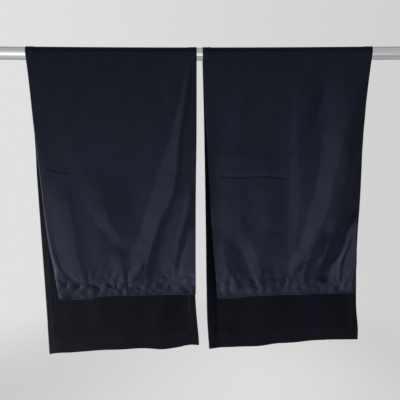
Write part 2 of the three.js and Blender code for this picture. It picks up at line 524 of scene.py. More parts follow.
@dataclass(frozen=True)
class Fold:
    """A fold of a flap: a slope up to its crest on the left, and another back down on the right.

    crest: where the crest lies along X, at each drop from its top end to its low end.
    left, right: how wide the two slopes are, at each drop.
    pitch: how steeply the left slope rises; under 0 it is a trough, with the crest at its bottom.
    fade_in, fade_out: over how much of the drop it grows from its top end, and dies away past its
        low end.
    crown: how widely the crest is rounded.
    foot: share of a slope over which it meets the cloth beside it.
    rounding: 1 where the right slope falls evenly, and more where it starts to fall slowly.
    """

    crest: Line
    left: Line | float
    right: Line | float
    pitch: Line | float = 0.2
    fade_in: float = 60.0
    fade_out: float = 30.0
    crown: float = 2.5
    foot: float = 0.12
    rounding: float = 1.0

    def height(self, x: Array, drop: Array) -> Array:
        """Height of the fold.

        Args:
            x, drop: the places where it is wanted.

        Returns:
            Millimetres out of the flap.
        """
        top, low = self.crest.at[0], self.crest.at[-1]
        aside = x - self.crest.read(drop)
        rising = amount(self.left, drop)
        width = np.where(aside < 0, rising, amount(self.right, drop))
        outward = (np.hypot(aside, self.crown) - self.crown) / width
        inward = 1 - np.where(aside < 0, outward, outward**self.rounding)
        inward = (inward + np.hypot(inward, self.foot)) / 2
        grown = smooth((drop - top) / self.fade_in) * (1 - smooth((drop - low) / self.fade_out))
        return amount(self.pitch, drop) * rising * inward * grown


@dataclass(frozen=True)
class Curl:
    """The left edge of a flap rolled back: past a line, the cloth falls away from the viewer."""

    start: Line  # where the roll starts along X, at each drop
    reach: float
    depth: float
    fade_in: float = 120.0
    furthest: float = 2.0  # where the roll ends, in reaches
    bend: float = 1.5

    def height(self, x: Array, drop: Array) -> Array:
        """Height of the rolled edge at each place of a flap: 0 or less."""
        past = np.clip((self.start.read(drop) - x) / self.reach, 0, self.furthest)
        return -self.depth * past**self.bend * smooth((drop - self.start.at[0]) / self.fade_in)


@dataclass(frozen=True)
class Dent:
    """A small dent of the gathered heading, or a puff where its rise is over 0.

    It is turned by an angle in degrees, and flare makes it wider towards its lower side. It is
    round at its bottom, and ends a little past its named width and height.
    """

    x: float
    drop: float
    rise: float
    wide: float
    tall: float
    turn: float = 0.0
    flare: float = 0.0
    reach: float = 1.5  # how far out its side runs, in named widths
    bottom: float = 0.25  # how widely its bottom is rounded, in named widths
    full: float = 1.15  # over 1 to make up for what the rounding takes off its depth
    steepness: float = 1.4

    def height(self, x: Array, drop: Array) -> Array:
        """Height of the dent.

        Args:
            x, drop: the places where it is wanted.

        Returns:
            Millimetres out of the flap.
        """
        angle = math.radians(self.turn)
        along = (x - self.x) * math.cos(angle) + (drop - self.drop) * math.sin(angle)
        aside = (drop - self.drop) * math.cos(angle) - (x - self.x) * math.sin(angle)
        wide = self.wide * (1 + self.flare * np.clip(aside / self.tall, -1, 1))
        away = np.hypot(np.hypot(along / wide, aside / self.tall), self.bottom)
        return self.rise * np.clip(self.full - away / self.reach, 0, 1) ** self.steepness


@dataclass(frozen=True)
class Crease:
    """A sharp line pressed in while the cloth lay folded: a small step outwards, going down."""

    line: Line  # its drop at each x
    depth: float
    width: float = 3.2
    above: float = 9.0  # how far above the line the cloth starts to sink back
    fade: float = 14.0

    def height(self, x: Array, drop: Array) -> Array:
        """Height of the crease.

        Args:
            x, drop: the places where it is wanted.

        Returns:
            Millimetres out of the flap: 0 or less, because the cloth round it isn't raised.
        """
        start, end = self.line.at[0], self.line.at[-1]
        held = smooth((x - start) / self.fade) * smooth((end - x) / self.fade)
        past = drop - self.line.read(x)
        sinking = np.exp(np.minimum(past, 0) / self.above)
        sunk = np.where(past < 0, sinking, 1 - smooth(past / self.width))
        return -self.depth * held * sunk


# ---- The curtains ----


@dataclass(frozen=True)
class Cut:
    """How every curtain is cut and sewn, in millimetres."""

    width: float = 530.0
    length: float = 1830.0
    front: float = 785.0  # hangs in front of the rail, on average
    cloth: float = 0.8
    turned: float = 0.8  # extra layer where the cloth is turned over
    turned_step: float = 1.5  # how wide the step down from that layer is
    side_hem: float = 25.0
    lower_hem: float = 50.0
    band: float = 62.0  # height of the gathered band at the heading
    rail_gap: float = 0.35
    rail_ease: float = 40.0  # how far from the rail a doubled edge lies as it does elsewhere
    lower_row: float = 6.0  # height above the heading's free edge of its lower row of stitches
    hem_row: float = 3.0  # how far inside a hem's turned edge its stitches run
    hem_pull: float = 9.0  # how far from the lower hem's edge its stitches pucker the cloth
    easing: float = 10.0  # how far inside the gathered band its puffs grow to their full height
    ruffled: float = 60.0  # how far above the band it still ruffles the cloth
    slack_front: float = 160.0  # how far below the rail a flap starts to hang loosely
    slack_back: float = 200.0


@dataclass(frozen=True)
class Gathering:
    """What the heading's two drawn rows of stitches do to the cloth, in millimetres."""

    ripple: float = 0.55  # height of the ripples along the rows
    ripple_length: float = 13.0
    ripple_wander: float = 0.8  # how unevenly they are spaced, as a share of their length
    ripple_usual: float = 0.3  # usual strength along a row, of 1
    ripple_change: float = 0.5  # how much that strength comes and goes
    upper_reach: float = 9.0  # how far the ripples run out from the upper row
    lower_reach: float = 7.0
    puff: float = 0.85  # height of the puffs between the rows
    draw: float = 0.6  # how deep the rows are drawn in
    row_width: float = 1.8
    bead: float = 1.4  # height of the beaded free edge
    bead_width: float = 2.6
    bead_at: float = 1.0

    def height(self, x: Array, along: Array, in_band: Array, cut: Cut, seed: int) -> Array:
        """Height of the ripples, the puffs and the beaded edge, less the depth of the rows.

        Args:
            x: places along the rail.
            along: lengths from the heading's free edge.
            in_band: 1 between the two rows, and 0 outside them.
            cut: where the rows run.
            seed: picks the unevenness.

        Returns:
            Millimetres out of the flap.
        """
        ripples = np.zeros_like(x)
        for row, reach in ((cut.band, self.upper_reach), (cut.lower_row, self.lower_reach)):
            drift = Waviness(rise=1.0, wide=60, tall=400, seed=seed + int(row))
            change = Waviness(rise=1.0, wide=80, tall=400, seed=seed + 5 + int(row))
            turns = x / self.ripple_length + self.ripple_wander * drift.height(x, along)
            strength = self.ripple_usual + self.ripple_change * change.height(x, along)
            away = np.exp(-np.abs(along - row) / reach)
            ripples += np.sin(2 * math.pi * turns) * np.clip(strength, 0, 1) * away
        puffs = Waviness(rise=1.0, wide=44, tall=46, seed=seed + 7).height(x, along)
        rows = bell(along - cut.band, self.row_width) + bell(along - cut.lower_row, self.row_width)
        bead = bell(along - self.bead_at, self.bead_width)
        raised = self.ripple * ripples + self.puff * in_band * puffs
        return raised - self.draw * rows + self.bead * bead


@dataclass(frozen=True)
class Rows:
    """Spacing of the mesh's rows along one stretch of the cloth, in millimetres."""

    until: float
    step: float
    fine: bool = False  # whether it has twice as many columns


@dataclass
class Curtain:
    """One curtain: a single sheet with a gathered heading in front and a plain hem behind.

    The four side edges are lines of X over the drop, and the two hems are lines of the drop over
    the share of the width. Places on the sheet are given by across, a share of the width from the
    left edge, and along, the length from the heading's free edge in millimetres.
    """

    UV_NAME = "cut_cloth"

    name: str
    front_left: Line
    front_right: Line
    back_left: Line
    back_right: Line
    front_hem: Line
    back_hem: Line
    front_shapes: list[Fold | Curl | Dent | Crease]
    back_shapes: list[Fold]
    seed: int
    rail: Rail = RAIL
    cut: Cut = Cut()
    gathering: Gathering = Gathering()
    columns: int = 136
    spans: tuple[Rows, ...] = (
        Rows(62, 2.2, fine=True),
        Rows(172, 2.75, fine=True),
        Rows(366, 5.5),
        Rows(440, 2.5),  # the pressed lines
        Rows(785, 8.5),
    )

    # -- measures along the cut cloth --

    @property
    def over(self) -> float:
        """Length of cloth that lies over the rail."""
        return math.pi * (self.rail.radius / MM + self.cut.rail_gap)

    @property
    def behind(self) -> float:
        """Length of cloth that hangs behind the rail."""
        return self.cut.length - self.cut.front - self.over

    def drop_of(self, across: Array, along: Array) -> Array:
        """How far below the rail's axis the cloth hangs, whichever flap it is on.

        Args:
            across, along: places on the sheet.

        Returns:
            The drop of each place, which is 0 on the rail.
        """
        cut = self.cut
        front_hem = self.front_hem.read(across)
        stretch = (front_hem - cut.band) / (cut.front - cut.band)
        above = np.where(along < cut.band, along, cut.band + (along - cut.band) * stretch)
        behind = (along - cut.front - self.over) * self.back_hem.read(across) / self.behind
        return np.where(along < cut.front, front_hem - above, np.maximum(behind, 0))

    # -- shape --

    def front_relief(self, x: Array, drop: Array, along: Array) -> Array:
        """How far the front flap's cloth stands out towards the viewer.

        Args:
            x, drop: places of the flap.
            along: their lengths from the heading's free edge.

        Returns:
            Heights in millimetres.
        """
        cut = self.cut
        loose = Waviness(rise=0.8, wide=140, tall=420, seed=self.seed)
        faint = Waviness(rise=0.05, wide=34, tall=50, seed=self.seed + 1)
        ruffles = Waviness(rise=0.5, wide=40, tall=90, seed=self.seed + 3)
        hanging = smooth(drop / cut.slack_front)
        near_band = 1 - smooth((along - cut.band) / cut.ruffled)
        in_band = smooth((along - cut.lower_row) / cut.easing)
        in_band = in_band * smooth((cut.band - along) / cut.easing)
        total = sum(shape.height(x, drop) for shape in self.front_shapes)
        total = total + self.gathering.height(x, along, in_band, cut, self.seed)
        total = total + near_band * ruffles.height(x, drop)
        return total + hanging * loose.height(x, drop) + hanging * faint.height(x, drop)

    def back_relief(self, x: Array, drop: Array, along: Array) -> Array:
        """How far the back flap's cloth stands out, away from the viewer.

        Args:
            x, drop: places of the flap.
            along: their lengths from the heading's free edge.

        Returns:
            Heights in millimetres.
        """
        cut = self.cut
        loose = Waviness(rise=0.8, wide=150, tall=700, seed=self.seed + 21)
        faint = Waviness(rise=0.05, wide=36, tall=80, seed=self.seed + 22)
        puckers = Waviness(rise=0.1, wide=14, tall=60, seed=self.seed + 23)
        hanging = smooth(drop / cut.slack_back)
        near_hem = bell(cut.length - along - cut.lower_hem, cut.hem_pull)
        total = sum(shape.height(x, drop) for shape in self.back_shapes)
        total = total + hanging * loose.height(x, drop) + hanging * faint.height(x, drop)
        return total + near_hem * puckers.height(x, drop)

    def middle(self, across: Array, along: Array) -> Array:
        """Points of the single layer's reverse side.

        Args:
            across, along: places on the sheet.

        Returns:
            One row of X, Y and Z for each place, in millimetres.
        """
        cut = self.cut
        drop = self.drop_of(across, along)
        turn = np.clip((along - cut.front) / self.over, 0, 1)  # 0 in front, 1 behind
        to_back = smooth(turn)
        left = self.front_left.read(drop) * (1 - to_back) + self.back_left.read(drop) * to_back
        right = self.front_right.read(drop) * (1 - to_back) + self.back_right.read(drop) * to_back
        x = left + (right - left) * across
        in_front = along < cut.front
        front, back = self.front_relief(x, drop, along), self.back_relief(x, drop, along)
        relief = np.where(in_front, -front, back)
        on_rail = (along >= cut.front) & (along <= cut.front + self.over)
        radius = self.rail.radius / MM + cut.rail_gap
        angle = math.pi * (1 - turn)
        y = radius * np.cos(angle) + np.where(on_rail, 0, relief)
        z = np.where(on_rail, radius * np.sin(angle), -drop)
        return np.stack([x, y, z - self.rail.sag_at(x * MM) / MM], axis=1)

    def normals(self, across: Array, along: Array) -> Array:
        """Directions out of the face, from the slope of the sheet round each place.

        Args:
            across, along: places on the sheet.

        Returns:
            One row of X, Y and Z, of length 1, for each place.
        """
        aside = 0.0016  # a share of the width, as far to each side as ahead is along, in mm
        ahead = 0.9
        right = self.middle(np.minimum(across + aside, 1), along)
        left = self.middle(np.maximum(across - aside, 0), along)
        further = self.middle(across, np.minimum(along + ahead, self.cut.length))
        nearer = self.middle(across, np.maximum(along - ahead, 0))
        out = np.cross(right - left, further - nearer)
        return out / np.linalg.norm(out, axis=1, keepdims=True)

    def layers(self, across: Array, along: Array) -> tuple[Array, Array]:
        """Face and reverse of the sheet.

        Args:
            across, along: places on the sheet.

        Returns:
            Points of the face and points of the reverse, in millimetres.
        """
        cut = self.cut
        middle = self.middle(across, along)
        out = self.normals(across, along)
        side = np.minimum(across, 1 - across) * cut.width
        inside = np.minimum.reduce(
            [side - cut.side_hem, along - cut.band, cut.length - along - cut.lower_hem]
        )
        turned = cut.turned * (1 - smooth(inside / cut.turned_step + 0.5))
        to_rail = np.abs(along - cut.front - self.over / 2) - self.over / 2
        # A doubled edge can't sink into the rail, so near it the turned layer lifts the face.
        lift = turned * (1 - smooth(to_rail / cut.rail_ease))
        face = middle + out * (lift + cut.cloth)[:, None]
        reverse = middle + out * (lift - turned)[:, None]
        return face, reverse

    # -- mesh --

    def stations(self) -> list[tuple[float, int]]:
        """The mesh's rows.

        Returns:
            For each row its length from the heading's free edge, and how many columns it has.
        """
        cut = self.cut
        hem = cut.length - cut.lower_hem
        beside = 4 * cut.turned_step  # the rows are closer on both sides of the hem's step
        spans = [
            *self.spans,
            Rows(cut.front + self.over, 2.6),
            Rows(hem - beside, 13.0),
            Rows(hem + beside, 3.0),
            Rows(cut.length, 5.5),
        ]
        rows: list[tuple[float, int]] = []
        start = 0.0
        for span in spans:
            steps = max(1, round((span.until - start) / span.step))
            columns = self.columns * (2 if span.fine else 1)
            rows += [(start + (span.until - start) * i / steps, columns) for i in range(steps)]
            start = span.until
        rows.append((start, self.columns))
        return rows

    def build(self, finishes: list[Material]) -> Piece:
        """Builds the closed sheet.

        Args:
            finishes: the materials of the face, the reverse and the turned edges.

        Returns:
            The curtain's object.
        """
        rows = self.stations()
        across = np.concatenate([np.linspace(0, 1, columns + 1) for _, columns in rows])
        along = np.concatenate([np.full(columns + 1, at) for at, columns in rows])
        face, reverse = self.layers(across, along)
        firsts = np.cumsum([0] + [columns + 1 for _, columns in rows])
        shift = len(across)
        faces: list[Face] = []
        sides: list[int] = []
        for r in range(len(rows) - 1):
            here, there = int(firsts[r]), int(firsts[r + 1])
            each = rows[r][1] // rows[r + 1][1]  # 2 where a fine row meets a plain one
            for c in range(rows[r + 1][1]):
                upper = range(here + each * c, here + each * (c + 1) + 1)
                ring = (*upper, there + c + 1, there + c)
                faces += [ring, tuple(shift + i for i in reversed(ring))]
                sides += [Side.FACE, self.reverse_finish(ring, across, along)]
        for a, b in self.rim(rows, firsts):
            faces.append((b, a, shift + a, shift + b))
            sides.append(Side.TURNED)
        points = np.concatenate([face, reverse]) * MM
        cloth = new_piece(self.name + "_cloth", points, faces, finishes)
        cloth.data.polygons.foreach_set("material_index", sides)
        self.unroll(cloth.data, across, along)
        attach(cloth, "root")
        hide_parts(self.name)
        log.info("%s: %d faces, %d points", cloth.name, len(faces), len(points))
        return cloth

    def reverse_finish(self, ring: Face, across: Array, along: Array) -> Side:
        """Which finish shows on the reverse: the plain side, or the edge that is turned over.

        Args:
            ring: the point numbers of a face of the sheet.
            across, along: each point's place on the sheet.

        Returns:
            The finish's slot.
        """
        cut = self.cut
        u = float(np.mean(across[list(ring)]))
        s = float(np.mean(along[list(ring)]))
        in_side_hem = min(u, 1 - u) * cut.width < cut.side_hem
        turned = in_side_hem or s < cut.band or cut.length - s < cut.lower_hem
        return Side.TURNED if turned else Side.REVERSE

    def rim(self, rows: list[tuple[float, int]], firsts: Array) -> list[tuple[int, int]]:
        """Edges round the face's outline, in order.

        Args:
            rows: the mesh's rows.
            firsts: the number of each row's first point.

        Returns:
            The two point numbers of each edge.
        """
        last = len(rows) - 1
        around = [int(firsts[0]) + c for c in range(rows[0][1] + 1)]
        around += [int(firsts[r + 1]) - 1 for r in range(1, last + 1)]
        around += [int(firsts[last]) + c for c in reversed(range(rows[last][1]))]
        around += [int(firsts[r]) for r in reversed(range(1, last))]
        return list(zip(around, around[1:] + around[:1]))

    def unroll(self, mesh: bpy.types.Mesh, across: Array, along: Array) -> None:
        """Gives the mesh a map of the flat cut cloth, in metres.

        Args:
            mesh: the sheet, whose face points come before its reverse points.
            across, along: each face point's place on the sheet.
        """
        flat = np.stack([across * self.cut.width, along], axis=1) * MM
        flat = np.concatenate([flat, flat])
        corners = np.zeros(len(mesh.loops), dtype=np.int32)
        mesh.loops.foreach_get("vertex_index", corners)
        layer = mesh.uv_layers.new(name=self.UV_NAME)
        layer.data.foreach_set("uv", flat[corners].ravel())


# ---- The stitching ----


@dataclass(frozen=True)
class Sewing:
    """How a curtain's thread lies, in millimetres."""

    length: float = 3.0
    gap: float = 1.1
    width: float = 0.55
    height: float = 0.4
    shoulders: tuple[float, float] = (0.22, 0.78)  # where it is thickest, as shares of its length
    from_edge: float = 0.004  # where a row across the cloth starts, as a share of the width
    from_row: float = 4.0  # where a side hem's row starts, from the rows across the cloth
    tail_radius: float = 0.7
    tail_tip: float = 0.35  # how thin a loose end's two tips are, as a share of the rest
    tail_bow: float = 1.6
    tail_from_rail: float = 3.5
    tail_apart: float = 1.2
    tail_sides: int = 6
    tail_rings: int = 14


@dataclass
class Stitching:
    """All the machine stitches of one curtain, and the loose ends of its heading's threads."""

    curtain: Curtain
    tails: list[Line] = field(default_factory=list)  # each loose end's X over its drop
    sewing: Sewing = Sewing()
    points: list[Array] = field(default_factory=list)
    faces: list[Face] = field(default_factory=list)

    def seams(self) -> list[tuple[Array, Array]]:
        """The curtain's rows of stitches: two at the heading, one along each hem.

        Returns:
            The two ends of each row, as across and along.
        """
        cut, sewing = self.curtain.cut, self.sewing
        side = (cut.side_hem - cut.hem_row) / cut.width
        low = cut.length - cut.lower_hem + cut.hem_row
        edge = sewing.from_edge
        rows = [((edge, at), (1 - edge, at)) for at in (cut.band, cut.lower_row, low)]
        top, foot = cut.band + sewing.from_row, low - sewing.from_row
        rows += [((at, top), (at, foot)) for at in (side, 1 - side)]
        return [(np.array(start), np.array(end)) for start, end in rows]

    def build(self, finish: Material) -> Piece:
        """Builds the stitches on both sides of the cloth as one joined mesh.

        Args:
            finish: the thread's material.

        Returns:
            The stitches' object.
        """
        curtain = self.curtain
        starts: list[Array] = []
        ends: list[Array] = []
        for a, b in self.seams():
            span = float(np.linalg.norm((b - a) * (curtain.cut.width, 1)))
            count = int(span / (self.sewing.length + self.sewing.gap))
            share = np.arange(count)[:, None] / count
            stitch = self.sewing.length / span
            starts.append(a + (b - a) * share)
            ends.append(a + (b - a) * (share + stitch))
        start = np.concatenate(starts)
        end = np.concatenate(ends)
        for layer, outward in ((0, 1.0), (1, -1.0)):
            tail = curtain.layers(start[:, 0], start[:, 1])[layer]
            head = curtain.layers(end[:, 0], end[:, 1])[layer]
            middle = (start + end) / 2
            normal = curtain.normals(middle[:, 0], middle[:, 1]) * outward
            self.add_stitches(tail, head, normal)
        for number, path in enumerate(self.tails):
            self.add_tail(path, number)
        points = np.concatenate(self.points) * MM
        stitches = new_piece(curtain.name + "_stitching", points, self.faces, [finish])
        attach(stitches, "root")
        log.info("%s: %d stitches", stitches.name, 2 * len(start))
        return stitches

    def add_stitches(self, tail: Array, head: Array, normal: Array) -> None:
        """Adds one small spindle for each stitch.

        Args:
            tail, head: where each stitch starts and ends, in millimetres.
            normal: the direction out of the cloth at its middle.
        """
        sewing = self.sewing
        forward = head - tail
        side = np.cross(forward, normal)
        side /= np.linalg.norm(side, axis=1, keepdims=True)
        base = sum(len(p) for p in self.points)
        rings = [tail]
        for share in sewing.shoulders:
            centre = tail + forward * share + normal * 0.5 * sewing.height
            for across, up in ((0.5, 0), (0, 0.5), (-0.5, 0), (0, -0.5)):
                rings.append(centre + side * across * sewing.width + normal * up * sewing.height)
        rings.append(head)
        count = len(tail)
        self.points.append(np.concatenate(rings))
        at = [base + ring * count for ring in range(len(rings))]
        for i in range(count):
            for q in range(4):
                a, b = 1 + q, 1 + (q + 1) % 4
                self.faces.append((at[0] + i, at[b] + i, at[a] + i))
                self.faces.append((at[a] + i, at[b] + i, at[b + 4] + i, at[a + 4] + i))
                self.faces.append((at[a + 4] + i, at[b + 4] + i, at[-1] + i))

    def add_tail(self, path: Line, number: int) -> None:
        """Adds a loose end of the heading's drawing thread.

        Args:
            path: its X at each drop, from where it leaves the heading.
            number: which of the curtain's loose ends it is.
        """
        sewing = self.sewing
        rings, sides = sewing.tail_rings, sewing.tail_sides
        front = self.curtain.rail.radius / MM + sewing.tail_from_rail + sewing.tail_apart * number
        base = sum(len(p) for p in self.points)
        made: list[Point] = []
        for ring, drop in enumerate(np.linspace(path.at[0], path.at[-1], rings)):
            x = float(path.read(np.array([drop]))[0])
            y = -front - sewing.tail_bow * math.sin(math.pi * ring / (rings - 1))
            radius = sewing.tail_radius * (sewing.tail_tip if ring in (0, rings - 1) else 1.0)
            for side in range(sides):
                angle = 2 * math.pi * side / sides
                made.append((x + radius * math.cos(angle), y + radius * math.sin(angle), -drop))
        self.points.append(np.array(made))
        self.faces += tube_faces(rings, sides, base)


# ---- The two curtains as they hang ----

# The left one's long fold drops steeply past its crest, and then eases down slowly: it is two.
LONG_CREST = Line(
    (20, 140, 260, 330, 450, 520, 590, 620, 700), (624, 604, 584, 579, 557, 523, 499, 489, 472)
)
LONG_RISE = Line((20, 140, 260, 330, 450, 520, 585, 620, 700), (6, 14, 25, 46, 66, 54, 50, 62, 50))
LEFT_FOLDS = [
    # the long one from the top right corner down to the middle of the heading
    Fold(
        LONG_CREST, LONG_RISE, Line((20, 260, 700), (8, 12, 12)),
        Line((20, 260, 330, 450, 540), (0.19, 0.12, 0.05, 0.04, 0.1)),
    ),
    Fold(
        LONG_CREST, LONG_RISE, Line((20, 200, 700), (60, 260, 260)),
        Line((20, 260, 330, 450, 540, 640, 690), (0.26, 0.3, 0.28, 0.25, 0.17, 0.12, 0.05)),
    ),
    # the narrow ones between it and the right edge
    Fold(Line((390, 484, 530, 600), (626, 612, 600, 580)), 15, 13, pitch=0.18),
    Fold(
        Line((390, 484, 540, 607, 680), (626, 610, 596, 581, 565)), 60, Line((390, 600), (40, 90)),
        pitch=Line((390, 520, 600), (0.05, 0.09, 0.11)),
    ),
    Fold(
        Line((520, 617, 725), (642, 638, 634)), Line((540, 607, 664, 705), (32, 38, 52, 60)), 20,
        pitch=0.23,
    ),
    Fold(Line((560, 617, 690), (611, 593, 579)), 12, 12, pitch=-0.14),
    # left of the middle
    Fold(
        Line((330, 450, 500, 540, 574), (312, 339, 351, 364, 388)),
        Line((330, 450, 500, 540, 574), (50, 62, 52, 40, 32)),
        Line((330, 500, 540, 574), (200, 200, 150, 100)),
        pitch=Line((330, 450, 515, 585), (0.09, 0.1, 0.18, 0.19)), fade_in=110, fade_out=42,
    ),
    Fold(Line((612, 650, 715), (386, 389, 396)), 34, 90, pitch=0.19, fade_in=40),
    Fold(
        Line((330, 440, 489, 552, 619, 712), (205, 220, 232, 238, 246, 258)),
        Line((330, 450, 600, 700), (60, 86, 90, 72)), 200, pitch=0.11, fade_in=180,
    ),
    # beside the rolled outer edge
    Fold(
        Line(
            (300, 400, 487, 572, 607, 640, 664, 685, 705),
            (136, 140, 146, 157, 162, 168, 174, 181, 190),
        ),
        12, 9, pitch=Line((300, 500, 570, 640), (0.0, 0.02, 0.05, 0.15)),
    ),
    # the tuck at the foot of the long one, and the sharp upright crease across the heading
    Fold(
        Line((655, 690, 722), (464, 449, 430)), Line((655, 722), (14, 40)),
        Line((655, 722), (6, 16)), 0.17, 20, 10, 1.5,
    ),
    Fold(
        Line((672, 700, 760), (408, 409, 411)), 6, 6, pitch=-0.28, crown=1.2, fade_in=25,
        fade_out=15,
    ),
    Curl(
        Line((250, 400, 487, 572, 640, 690, 740, 790), (132, 141, 145.5, 155, 165, 178, 177, 184)),
        12, 4.5,
    ),
]
# each one's x, drop, rise, width and height, and its turn and flare where it has them
LEFT_DENTS = [
    Dent(*row)
    for row in (
        (226, 722, -3.7, 16, 7, 25), (243, 748, -5.3, 12, 8, -15, 0.6), (278, 722, -3.7, 5, 18),
        (302, 746, -5.3, 13, 9, 20, 0.6), (333, 716, -2.2, 9, 6), (350, 744, -4.5, 12, 5, 30),
        (372, 745, -3.0, 6, 8), (445, 752, -3.7, 16, 5, -5), (491, 728, -2.2, 10, 18),
        (535, 712, -3.4, 9, 7, 30), (551, 750, -4.8, 9, 10, 0, 0.6), (580, 738, -2.2, 8, 8, 20),
        (614, 708, -3.7, 14, 5, -10), (612, 734, -3.7, 12, 5, -10), (613, 760, -2.6, 12, 5),
    )
]
LEFT_CREASES = [
    Crease(Line((160, 219, 275), (356, 367, 353)), 1.5),
    Crease(Line((328, 375), (380, 374)), 1.2, fade=9),
    Crease(Line((494, 606), (369, 369)), 1.0),
]
LEFT = Curtain(
    name="curtain_left",
    front_left=Line(
        (0, 100, 165, 280, 420, 590, 640, 700, 793), (116, 122, 125, 131, 139, 151, 156, 165, 176)
    ),
    front_right=Line((0, 280, 420, 700, 793), (640, 639, 637, 636, 636)),
    back_left=Line((0, 150, 390, 500, 820, 1010), (108, 113, 111, 112, 115, 116)),
    back_right=Line(
        (0, 150, 500, 820, 880, 920, 960, 1010), (639, 637, 634, 635, 639, 643, 646, 647)
    ),
    front_hem=Line((0, 0.2, 0.33, 0.46, 0.75, 1), (793, 793, 783, 780, 776, 773)),
    back_hem=Line(
        (0, 0.05, 0.15, 0.24, 0.3, 0.47, 0.66, 0.76, 0.86, 0.94, 1),
        (1017, 1012, 1009, 1004, 1001, 996, 992, 995, 987, 978, 979),
    ),
    front_shapes=[*LEFT_FOLDS, *LEFT_DENTS, *LEFT_CREASES],
    back_shapes=[
        Fold(Line((200, 900), (180, 170)), 80, 90, pitch=0.02, crown=30),
        Fold(Line((250, 1010), (112, 116)), 26, 30, pitch=0.12, crown=4),
        Fold(Line((720, 865, 975), (660, 605, 505)), 70, 90, pitch=0.03, crown=30),
    ],
    seed=31,
)

RIGHT_FOLDS = [
    # the upright strip
    Fold(
        Line((40, 200, 324, 375, 518, 610), (951, 953, 965, 968, 969, 962)),
        Line((40, 200, 324, 518, 610), (12, 16, 28, 30, 22)), Line((40, 300, 518), (90, 170, 170)),
        pitch=Line((40, 250, 330), (0.08, 0.1, 0.12)), fade_in=160, fade_out=60, crown=1.5,
    ),
    # the hollow at the foot of the long one
    Fold(Line((60, 140, 200), (1046, 1030, 1012)), 24, 16, pitch=-0.09),
    # the long one from the top right corner
    Fold(
        crest=Line(
            (22, 159, 244, 343, 392, 440, 489, 540, 573, 607, 640, 664, 680),
            (1150, 1124, 1101, 1087, 1074, 1069, 1058, 1041, 1025, 1012, 990, 972, 962),
        ),
        left=Line(
            (22, 140, 213, 300, 388, 520, 585, 640, 664, 680),
            (96, 80, 66, 52, 46, 48, 34, 30, 24, 16),
        ),
        right=Line(
            (22, 159, 300, 343, 392, 489, 540, 573, 607, 640, 664, 680),
            (24, 40, 44, 60, 84, 84, 70, 40, 32, 36, 22, 18),
        ),
        pitch=Line(
            (22, 140, 213, 300, 388, 540, 600, 640, 680),
            (0.06, 0.1, 0.19, 0.34, 0.42, 0.4, 0.44, 0.38, 0.3),
        ),
        fade_in=120, crown=5, rounding=2.5,
    ),
    # the narrow one beside it, and the deep trough on its right
    Fold(
        Line(
            (200, 300, 343, 454, 552, 573, 607, 640, 664, 715),
            (1150, 1143, 1127, 1110, 1087, 1081, 1070, 1063, 1056, 1043),
        ),
        Line((200, 300, 343, 392, 489, 540, 573, 607, 640), (16, 26, 32, 44, 38, 28, 20, 18, 18)),
        Line((200, 573, 640), (16, 16, 12)),
        pitch=Line((300, 540, 573, 607, 664, 715), (0.16, 0.2, 0.4, 0.56, 0.36, 0.2)), fade_in=100,
    ),
    Fold(
        crest=Line(
            (300, 454, 540, 607, 640, 664, 685, 715),
            (1164, 1151, 1129, 1107, 1096, 1082, 1069, 1060),
        ),
        left=Line((300, 454, 600, 700), (30, 36, 36, 34)),
        right=Line((300, 454, 613, 653, 710), (8, 14, 22, 28, 42)),
        pitch=Line((300, 540, 600, 680, 715), (-0.3, -0.34, -0.42, -0.42, -0.3)), fade_in=130,
        fade_out=22, crown=1.5,
    ),
    Fold(
        Line((605, 660, 715), (1022, 1004, 994)), 11, 12, Line((605, 660, 715), (0.3, 0.34, 0.2)),
        fade_in=40, crown=1.5,
    ),
    Fold(Line((540, 613, 653, 720), (1147, 1134, 1119, 1113)), 9, 6, crown=1.5, pitch=0.35),
    Fold(
        Line((460, 489, 540, 580, 660, 740), (1154, 1155, 1160, 1168, 1164, 1152)),
        Line((460, 489, 540, 580, 700), (8, 10, 24, 28, 38)), 14,
        pitch=Line((460, 540, 600, 700), (0.26, 0.36, 0.32, 0.28)), fade_in=50,
    ),
    # the inner side
    Fold(
        Line((270, 400, 560), (770, 775, 790)), 90, 160,
        pitch=Line((300, 400, 480), (0.07, 0.06, 0.045)), fade_in=60, fade_out=60,
    ),
    Fold(
        Line((560, 590, 640, 664, 685, 705, 745), (722, 726, 731, 735, 742, 757, 775)),
        Line((560, 640, 664, 685, 705, 745), (44, 46, 50, 54, 68, 84)),
        Line((560, 600, 660, 700), (44, 60, 90, 140)), pitch=0.16, fade_in=50,
    ),
    Fold(
        crest=Line(
            (540, 573, 607, 640, 664, 685, 705, 730), (800, 807, 824, 838, 842, 848, 856, 862)
        ),
        left=Line((540, 573, 607, 640, 664, 685, 705), (30, 40, 46, 48, 41, 36, 34)), right=220,
        pitch=Line((540, 573, 607), (0.1, 0.14, 0.17)), fade_in=70,
    ),
    Fold(Line((590, 640, 700), (778, 794, 822)), 40, 12, pitch=-0.03),
]
RIGHT_DENTS = [
    Dent(*row)
    for row in (
        (764, 610, -1.5, 14, 18, 30), (750, 726, -1.8, 7, 12, 10), (747, 763, -1.6, 10, 6),
        (772, 706, -1.6, 6, 10, 20), (789, 740, -2.1, 9, 12, -15, 0.5), (826, 722, -2.1, 12, 6, 30),
        (843, 752, -2.1, 8, 10), (872, 712, -1.6, 12, 6, -15), (905, 745, -2.1, 10, 8, 10, 0.4),
        (934, 730, -1.8, 6, 12, 5), (952, 712, -1.6, 8, 6), (980, 750, -1.8, 12, 7, 0, 0.5),
        (1008, 718, -2.3, 7, 14, 20), (1038, 744, -2.1, 10, 9, -10, 0.5),
        (1062, 716, -1.0, 7, 15, 20), (1092, 738, -2.1, 8, 12, -20),
        (1120, 748, -2.1, 9, 9, 10, 0.4),
    )
]
